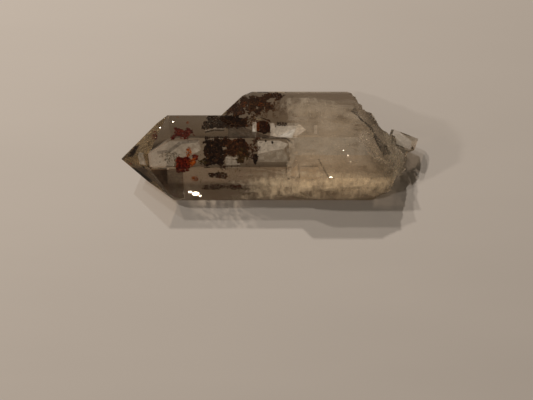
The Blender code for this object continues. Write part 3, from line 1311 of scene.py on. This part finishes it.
RUST_BLOCK = Grains(
    "rust_square_block",
    (
        Patch((256.3, 120.8, 270.0, 133.0), 1300, Mineral.BROWN, (0.4, 2.2), 0.15, 8.0, (0.1, 0.3)),
        Patch((258.0, 121.0, 269.5, 130.0), 40, Mineral.RED, (0.3, 0.6), 0.7, 3.0),
        Patch((256.0, 121.0, 259.5, 132.0), 120, Mineral.ORANGE, (0.3, 0.6), 0.4, 3.0),
        Patch((257.0, 122.0, 269.8, 133.2), 520, Mineral.BLACK, (0.3, 0.7), 1.0, 5.0, (0.06, 0.2)),
    ),
    41,
)


@dataclass(frozen=True)
class Plane:
    """An inner plane of the quartz: its outline in the photo's pixels, its look and where it lies."""

    outline: Outline
    veil: Veil
    depth: float = 0.0
    height: float | None = None

    def corners(self, sight: Sight) -> list[Vector]:
        """Returns its corners inside the quartz, at its depth or on its level.

        Args:
            sight: Lines of sight into the quartz.

        Returns:
            The corners that lie inside.
        """
        if self.height is None:
            places = [sight.reach(u, v, self.depth) for u, v in self.outline]
        else:
            places = [sight.level(u, v, self.height) for u, v in self.outline]
        return [place for place in places if place is not None]


def box(u0: float, v0: float, u1: float, v1: float) -> Outline:
    """Returns the outline of an upright box in pixels."""
    return ((u0, v0), (u1, v0), (u1, v1), (u0, v1))


def sliver(u0: float, v0: float, u1: float, v1: float, width: float) -> Outline:
    """Returns the outline of a thin strip between two pixels.

    Args:
        u0: Column of its first end.
        v0: Row of its first end.
        u1: Column of its second end.
        v1: Row of its second end.
        width: Its width in pixels.

    Returns:
        Its four corners.
    """
    along = Vector((u1 - u0, v1 - v0)).normalized()
    du, dv = -along.y * width / 2, along.x * width / 2
    return ((u0 + du, v0 + dv), (u1 + du, v1 + dv), (u1 - du, v1 - dv), (u0 - du, v0 - dv))


INNER_PLANES = (
    # The windows left of the moss, with a grey edge.
    Plane(
        (
            (150.5, 153.5), (169.5, 141.0), (199.0, 140.3), (201.0, 150.0), (189.0, 156.0), (175.0, 158.0),
            (174.0, 166.0), (151.5, 166.0),
        ),
        Veil.PALE,
        2.2,
    ),
    Plane(
        (
            (157.0, 151.0), (168.0, 150.0), (180.0, 141.0), (198.5, 139.6), (198.5, 142.3), (182.0, 144.0),
            (170.0, 152.6), (157.5, 154.0),
        ),
        Veil.GREY,
        1.6,
    ),
    Plane(((193.5, 147.5), (199.0, 149.0), (198.0, 153.5), (194.0, 152.0)), Veil.THIN, 1.2),
    Plane(((139.0, 152.0), (143.5, 153.0), (146.5, 165.0), (140.0, 165.0)), Veil.PALE, 0.5),
    # Light sheets that paint the light of the windows right of the moss and under it.
    Plane(
        ((257.5, 141.0), (279.0, 140.5), (288.5, 144.0), (284.0, 148.5), (270.0, 151.0), (258.0, 154.0)),
        Veil.WHITE_AND_PAINTED_LIGHT,
        2.4,
    ),
    Plane(((258.0, 154.0), (270.0, 151.0), (284.0, 148.5), (289.0, 162.0), (258.0, 162.0)), Veil.THIN, 2.6),
    Plane(((225.0, 156.5), (238.0, 157.5), (241.0, 164.5), (226.0, 165.5)), Veil.PALE, 2.4),
    # Painted light around the rust block, and a white bar.
    Plane(
        ((274.0, 125.5), (300.0, 124.5), (306.0, 130.0), (296.0, 136.8), (274.0, 136.4)),
        Veil.WHITE_AND_PAINTED_LIGHT,
        0.9,
    ),
    Plane(box(252.4, 122.0, 256.4, 132.0), Veil.WHITE_AND_PAINTED_LIGHT, 0.4),
    Plane(box(270.3, 123.5, 274.3, 136.0), Veil.WHITE_AND_PAINTED_LIGHT, 0.4),
    Plane(box(314.0, 125.0, 317.0, 134.0), Veil.PALE, 0.4),
    # The grey and dark lines behind the moss, with a pale one between them.
    Plane(
        ((228.0, 127.5), (243.0, 126.5), (262.0, 134.5), (288.0, 137.6), (262.0, 137.8), (228.0, 137.6)),
        Veil.GREY,
        0.3,
    ),
    Plane(
        ((262.0, 137.2), (287.0, 137.8), (292.4, 142.6), (291.2, 143.4), (286.5, 139.2), (262.0, 138.6)),
        Veil.DARK,
        0.2,
    ),
    Plane(
        ((205.0, 130.3), (214.0, 128.1), (224.0, 128.6), (224.0, 129.4), (214.0, 129.1), (205.0, 131.3)),
        Veil.PALE,
        0.2,
    ),
    Plane(
        ((205.0, 131.5), (214.0, 129.4), (224.0, 129.7), (224.0, 131.0), (214.0, 130.8), (205.0, 133.0)),
        Veil.DARK,
        0.3,
    ),
    # The two block-like areas on the front, and the lines about them.
    Plane(((287.0, 164.5), (297.0, 164.5), (298.0, 176.0), (286.5, 175.0)), Veil.BEIGE, height=10.0),
    Plane(
        ((300.5, 167.0), (318.0, 166.8), (321.0, 173.0), (318.0, 179.0), (299.5, 178.5)),
        Veil.BEIGE,
        height=10.5,
    ),
    Plane(sliver(286.6, 164.0, 286.2, 176.0, 0.6), Veil.GREY, 0.3),
    Plane(sliver(298.5, 164.0, 299.5, 178.0, 0.7), Veil.GREY, 0.3),
    Plane(sliver(300.0, 166.4, 318.0, 166.2, 0.6), Veil.GREY, 0.3),
    Plane(((318.0, 159.0), (319.3, 159.0), (329.0, 177.0), (327.8, 177.6)), Veil.GREY, 0.2),
    Plane(((286.6, 177.4), (289.6, 178.2), (289.8, 180.0), (287.6, 179.6)), Veil.DARK, 0.2),
    # The haze and the beige of the broken end, and the haze of the second point.
    Plane(
        ((384.0, 156.0), (405.0, 153.0), (402.0, 166.0), (396.0, 176.0), (384.0, 180.0)),
        Veil.HAZE,
        height=5.0,
    ),
    Plane(
        ((385.0, 152.0), (407.0, 154.0), (408.0, 167.0), (405.0, 177.0), (394.0, 183.0), (383.0, 187.0)),
        Veil.BEIGE,
        height=1.5,
    ),
    Plane(
        (
            (280.0, 106.0), (288.0, 98.0), (310.0, 97.5), (334.0, 101.0), (346.0, 110.0), (336.0, 118.0),
            (290.0, 116.0),
        ),
        Veil.HAZE,
        height=4.0,
    ),
    # Thin pale lines in the second point.
    Plane(sliver(309.0, 108.0, 311.0, 117.0, 0.7), Veil.THIN, 0.4),
    Plane(sliver(316.0, 104.0, 317.0, 112.0, 0.7), Veil.THIN, 0.4),
    Plane(sliver(322.0, 111.0, 321.0, 121.0, 0.6), Veil.THIN, 0.4),
    # A brown sheet over the front of the tip, painted shade for the dark seen through it, and the white
    # face of the shard.
    Plane(
        (
            (128.0, 162.5), (143.0, 167.5), (150.0, 169.0), (183.0, 169.0), (184.0, 198.0), (175.0, 197.5),
            (150.0, 179.0),
        ),
        Veil.PAINTED_TIP_SHADE,
        0.4,
    ),
    Plane(
        ((394.0, 133.0), (415.0, 134.0), (418.0, 139.0), (409.0, 149.0), (396.0, 146.0)),
        Veil.WHITE_AND_PAINTED_LIGHT,
        0.8,
    ),
    # The grey border above the broken end, with its dark line.
    Plane(
        (
            (351.0, 111.0), (362.0, 121.0), (371.7, 128.8), (375.7, 141.0), (383.7, 155.0), (392.0, 153.0),
            (384.0, 144.0), (374.0, 132.0), (370.0, 125.0), (360.0, 117.0), (355.0, 107.0),
        ),
        Veil.GREY,
        0.3,
    ),
    Plane(sliver(351.0, 111.0, 371.7, 128.8, 0.7), Veil.DARK, 0.25),
    Plane(sliver(371.7, 128.8, 376.5, 141.5, 0.7), Veil.DARK, 0.25),
    Plane(sliver(376.0, 141.0, 384.0, 156.0, 1.1), Veil.DARK, 0.25),
    # A pale streak by the front edge.
    Plane(((299.0, 192.0), (301.0, 191.5), (309.5, 198.0), (308.5, 198.8)), Veil.PALE, 0.2),
)


@dataclass(frozen=True)
class InnerPlanes:
    """All the inner planes, joined in one mesh."""

    name: str = "inner_planes"

    def build(self, sight: Sight, measure: Measure, finishes: dict[Veil, Material]) -> Piece:
        """Makes the piece.

        Args:
            sight: Lines of sight into the quartz.
            measure: Where the crystal stands in the frame.
            finishes: The material of each veil.

        Returns:
            One mesh of all the planes.
        """
        body = bmesh.new()
        veils = list(dict.fromkeys(plane.veil for plane in INNER_PLANES))
        for plane in INNER_PLANES:
            verts = [body.verts.new(place) for place in plane.corners(sight)]
            if len(verts) > 2:
                body.faces.new(verts).material_index = veils.index(plane.veil)
        return seal_in(self.name, body, measure, [finishes[veil] for veil in veils])


@dataclass(frozen=True)
class VeilCloud:
    """A cloud of veils: many thin, gently bent sheets laid through a part of the quartz."""

    name: str
    seed: int
    sheets: int
    rows: int
    columns: int
    x_span: Pair
    y_span: Pair
    z_span: Pair
    left_edge: tuple[Pair, ...]
    fray: float = 4.5
    fray_scale: float = 0.25
    fray_apart: float = 3.0
    pivot: Pair = (20.0, 14.0)
    lean_x: float = 0.22
    lean_y: float = 0.25
    bend: float = 1.3
    bend_scale: float = 0.11
    bend_apart: float = 9.0
    margin: float = 0.35

    def height(self, sheet: int, x: float, y: float, lean: Pair) -> float:
        """Returns how high a sheet lies at a place.

        Args:
            sheet: Which sheet, counted from the lowest.
            x: Place along the crystal.
            y: Place across the crystal.
            lean: The sheet's rise along x and y.

        Returns:
            The height.
        """
        low, high = self.z_span
        base = low + (high - low) * (sheet + 0.5) / self.sheets
        wave = noise.fractal(Vector((x, y, sheet * self.bend_apart)) * self.bend_scale, 1.0, 2.0, 3)
        tilt = lean[0] * (x - self.pivot[0]) + lean[1] * (y - self.pivot[1])
        return base + tilt + self.bend * wave

    def build(self, point: QuartzPoint, measure: Measure, finish: Material) -> Piece:
        """Makes the veils.

        Args:
            point: The quartz, whose inside they keep to.
            measure: Where the crystal stands in the frame.
            finish: Their material.

        Returns:
            One mesh of all the sheets.
        """
        draw = random.Random(self.seed)
        body = bmesh.new()
        for sheet in range(self.sheets):
            lean = (draw.uniform(-self.lean_x, self.lean_x), draw.uniform(-self.lean_y, self.lean_y))
            grid = {}
            for i, y in enumerate(steps(self.y_span, self.rows)):
                sway = noise.noise(Vector((y * self.fray_scale, sheet * self.fray_apart, 1.0)))
                left = between(self.left_edge, y) + self.fray * sway
                for j, x in enumerate(steps(self.x_span, self.columns)):
                    place = Vector((x, y, self.height(sheet, x, y, lean)))
                    if x > left and point.holds(place, self.margin):
                        grid[i, j] = body.verts.new(place)
            for i in range(self.rows):
                for j in range(self.columns):
                    square = [grid.get(key) for key in ((i, j), (i, j + 1), (i + 1, j + 1), (i + 1, j))]
                    if None not in square:
                        body.faces.new(square)
        loose = [vert for vert in body.verts if not vert.link_faces]
        bmesh.ops.delete(body, geom=loose, context="VERTS")
        for face in body.faces:
            face.smooth = True
        return seal_in(self.name, body, measure, [finish])


MILKY_VEILS = VeilCloud(
    name="milky_veils",
    seed=5,
    sheets=14,
    rows=56,
    columns=66,
    x_span=(3.0, 43.0),
    y_span=(0.5, 33.5),
    z_span=(2.0, 23.0),
    left_edge=((0.0, 12.0), (4.0, 9.0), (10.0, 7.6), (17.0, 7.0), (24.0, 6.5), (30.0, 9.0), (34.0, 10.0)),
)
FRONT_HAZE = VeilCloud(
    name="front_haze",
    seed=8,
    sheets=10,
    rows=24,
    columns=80,
    x_span=(-20.0, 42.0),
    y_span=(0.3, 9.0),
    z_span=(1.0, 15.0),
    left_edge=((0.0, -5.0), (9.0, -5.0)),
    fray=14.0,
)
FOOT_VEILS = VeilCloud(
    name="foot_veils",
    seed=9,
    sheets=7,
    rows=36,
    columns=28,
    x_span=(33.0, 45.0),
    y_span=(5.0, 24.0),
    z_span=(0.6, 10.0),
    left_edge=((0.0, 35.0), (34.0, 35.0)),
)


@dataclass(frozen=True)
class Lamp:
    """A small round lamp: how far it leans per metre up, its power, its size and how far off it hangs."""

    name: str
    lean: Pair
    power: float
    size: float = 0.02
    distance: float = 0.9

    def towards(self) -> Vector:
        """Returns the direction in which it hangs."""
        return Vector((*self.lean, 1.0)).normalized()


@dataclass(frozen=True)
class Glint:
    """A small mirror disc inside, aimed so that a lamp shows in it from the camera as a painted highlight.
    """

    pixel: Pair
    depth: float
    radius: float


# Painted highlights: where each disc is seen, how deep it lies, and its radius.
GLINTS = (
    Glint((195.7, 193.6), 1.4, 1.7),
    Glint((190.2, 192.0), 1.0, 0.6),
    Glint((200.2, 195.8), 0.8, 0.45),
    Glint((330.7, 177.5), 1.2, 0.9),
    Glint((343.5, 150.5), 0.3, 0.13),
    Glint((348.0, 155.5), 0.3, 0.13),
    Glint((350.5, 161.5), 0.3, 0.13),
    Glint((160.0, 127.6), 0.3, 0.28),
    Glint((173.0, 121.8), 0.3, 0.28),
)


@dataclass(frozen=True)
class GlintDiscs:
    """All the glint discs, joined in one mesh; they paint lamp highlights."""

    name: str = "glint_mirror_discs"
    rim: int = 14
    margin: float = 0.05
    shrink: float = 0.92

    def build(
        self, point: QuartzPoint, sight: Sight, measure: Measure, lamp: Lamp, finish: Material
    ) -> Piece:
        """Makes the piece.

        Args:
            point: The quartz, whose inside they keep to.
            sight: Lines of sight into the quartz.
            measure: Where the crystal stands in the frame.
            lamp: The lamp that they mirror.
            finish: Their material.

        Returns:
            One mesh of small discs.
        """
        body = bmesh.new()
        for glint in GLINTS:
            path = sight.enter(*glint.pixel)
            if path is None:
                continue
            facing = (lamp.towards() - path[1]).normalized()
            across = facing.orthogonal().normalized()
            up = facing.cross(across)
            centre = path[0] + path[1] * glint.depth
            turns = [math.tau * k / self.rim for k in range(self.rim)]
            spokes = [across * math.cos(turn) + up * math.sin(turn) for turn in turns]
            radius = glint.radius
            while radius > self.margin and not all(
                point.holds(centre + spoke * radius, self.margin) for spoke in spokes
            ):
                radius *= self.shrink
            LOG.info("glint at %s: radius %.2f mm", glint.pixel, radius)
            body.faces.new([body.verts.new(centre + spoke * radius) for spoke in spokes])
        return seal_in(self.name, body, measure, [finish])


@dataclass
class Studio:
    """The pale floor, the lamps and the camera."""

    floor_reach: float = 3.0
    floor_drop: float = 0.00005
    sensor_width: float = 36.0
    near_and_far: Pair = (0.01, 20.0)
    room: Colour = (0.95, 0.79, 0.58)
    room_strength: float = 0.064
    warm: Colour = (1.0, 0.92, 0.84)
    lamps: tuple[Lamp, ...] = (
        Lamp("lamp_back", (-0.25, 0.974), 2.85),
        Lamp("lamp_back_left", (-0.515, 0.83), 1.65),
        Lamp("lamp_left", (-0.6, 0.62), 2.05),
        Lamp("lamp_low_left", (-1.3, -0.25), 1.2, size=0.05),
    )

    def floor(self, finish: Material) -> Piece:
        """Makes the floor, which the crystal's faces don't mirror.

        Args:
            finish: Its material.

        Returns:
            The floor.
        """
        body = bmesh.new()
        bmesh.ops.create_grid(body, x_segments=8, y_segments=8, size=self.floor_reach)
        floor = link_object("floor", body)
        floor.location.z = -self.floor_drop
        floor.data.materials.append(finish)
        floor.visible_glossy = False
        floor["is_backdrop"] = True
        return floor

    def hang(self, lamp: Lamp, aim: Vector) -> None:
        """Adds one lamp that faces the crystal.

        Args:
            lamp: The lamp.
            aim: What it faces.
        """
        data = bpy.data.lights.new(lamp.name, "AREA")
        data.shape = "DISK"
        data.size = lamp.size
        data.energy = lamp.power
        data.color = self.warm
        obj = bpy.data.objects.new(lamp.name, data)
        away = lamp.towards()
        obj.location = aim + away * lamp.distance
        obj.rotation_mode = "QUATERNION"
        obj.rotation_quaternion = away.to_track_quat("Z", "Y")
        bpy.context.scene.collection.objects.link(obj)

    def lights(self, aim: Vector) -> None:
        """Adds the lamps and the dim room.

        Args:
            aim: What the lamps face.
        """
        for lamp in self.lamps:
            self.hang(lamp, aim)
        world = bpy.data.worlds.new("dim_room")
        world.use_nodes = True
        background = world.node_tree.nodes["Background"]
        background.inputs["Color"].default_value = opaque(self.room)
        background.inputs["Strength"].default_value = self.room_strength
        bpy.context.scene.world = world

    def camera(self, measure: Measure) -> None:
        """Places the camera at the photo's viewing angle.

        Args:
            measure: Where the crystal stands in the frame.
        """
        data = bpy.data.cameras.new("camera")
        camera = bpy.data.objects.new("camera", data)
        eye = Vector(CAMERA_PIXELS)
        data.sensor_width = self.sensor_width
        data.lens = data.sensor_width * eye.length / PHOTO_WIDTH
        data.clip_start, data.clip_end = self.near_and_far
        camera.location = measure.place(tuple(eye * MM_PER_PIXEL))
        target = measure.place((0.0, 0.0, 0.0))
        camera.rotation_mode = "QUATERNION"
        camera.rotation_quaternion = (target - camera.location).to_track_quat("-Z", "Y")
        bpy.context.scene.collection.objects.link(camera)
        bpy.context.scene.camera = camera


def tune_render() -> None:
    """Sets how light is followed through the crystal, and plain tones."""
    scene = bpy.context.scene
    cycles = scene.cycles
    cycles.max_bounces = 24
    cycles.transmission_bounces = 20
    cycles.glossy_bounces = 12
    cycles.diffuse_bounces = 4
    cycles.transparent_max_bounces = 40
    cycles.caustics_reflective = False
    cycles.caustics_refractive = False
    cycles.use_denoising = True
    scene.view_settings.view_transform = "Standard"


def attach(piece: Piece, slot: str, nodes: tuple[str, ...]) -> None:
    """Rides a piece on the body, and hides the CAD nodes it stands for.

    What is sealed in the quartz casts no shadow, so only the clear piece does.

    Args:
        piece: The piece.
        slot: Its material slot.
        nodes: The CAD nodes that it replaces, if any.
    """
    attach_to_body(piece, "root")
    piece.visible_shadow = slot == "quartz" and bool(nodes)
    if nodes:
        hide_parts(*nodes)
    LOG.info("%s: %d faces", piece.name, len(piece.data.polygons))


def main() -> None:
    """Builds the crystal, what is sealed in it, and the studio."""
    logging.basicConfig(level=logging.INFO, format="%(message)s")
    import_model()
    cad_low, cad_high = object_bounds()
    point = QuartzPoint()
    measure = Measure(cad_low, point.main_tip[0], FRONT_EDGE_Y)

    quartz = point.build(measure)
    point.dress(quartz, QuartzFinish())
    attach(quartz, "quartz", ("quartz_lower", "quartz_upper"))

    sight = Sight(quartz, measure)
    finishes = {mineral: finish.build(mineral.value) for mineral, finish in MINERAL_FINISHES.items()}
    for grains, slot, node in (
        (MOSS_MAIN, "moss", "moss_main"),
        (MOSS_SECOND, "moss", "moss_second"),
        (RUST_FLAKES, "iron_oxide", "rust_flakes"),
        (RUST_BLOCK, "iron_oxide", "rust_block"),
    ):
        attach(grains.build(sight, measure, finishes), slot, (node,))
    veils = {veil: finish.build(veil.value) for veil, finish in VEIL_FINISHES.items()}
    for cloud, veil in ((MILKY_VEILS, Veil.MILKY), (FRONT_HAZE, Veil.HAZE), (FOOT_VEILS, Veil.HAZE)):
        attach(cloud.build(point, measure, veils[veil]), "quartz", ())
    attach(InnerPlanes().build(sight, measure, veils), "quartz", ())

    studio = Studio()
    # Mirror discs that paint highlights of the first lamp.
    glint_discs = GlintDiscs().build(point, sight, measure, studio.lamps[0], MirrorFinish().build())
    attach(glint_discs, "quartz", ())
    studio.floor(FloorFinish().build())
    studio.lights((cad_low + cad_high) / 2)
    studio.camera(measure)
    tune_render()

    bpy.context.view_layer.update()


if __name__ == "__main__":
    main()
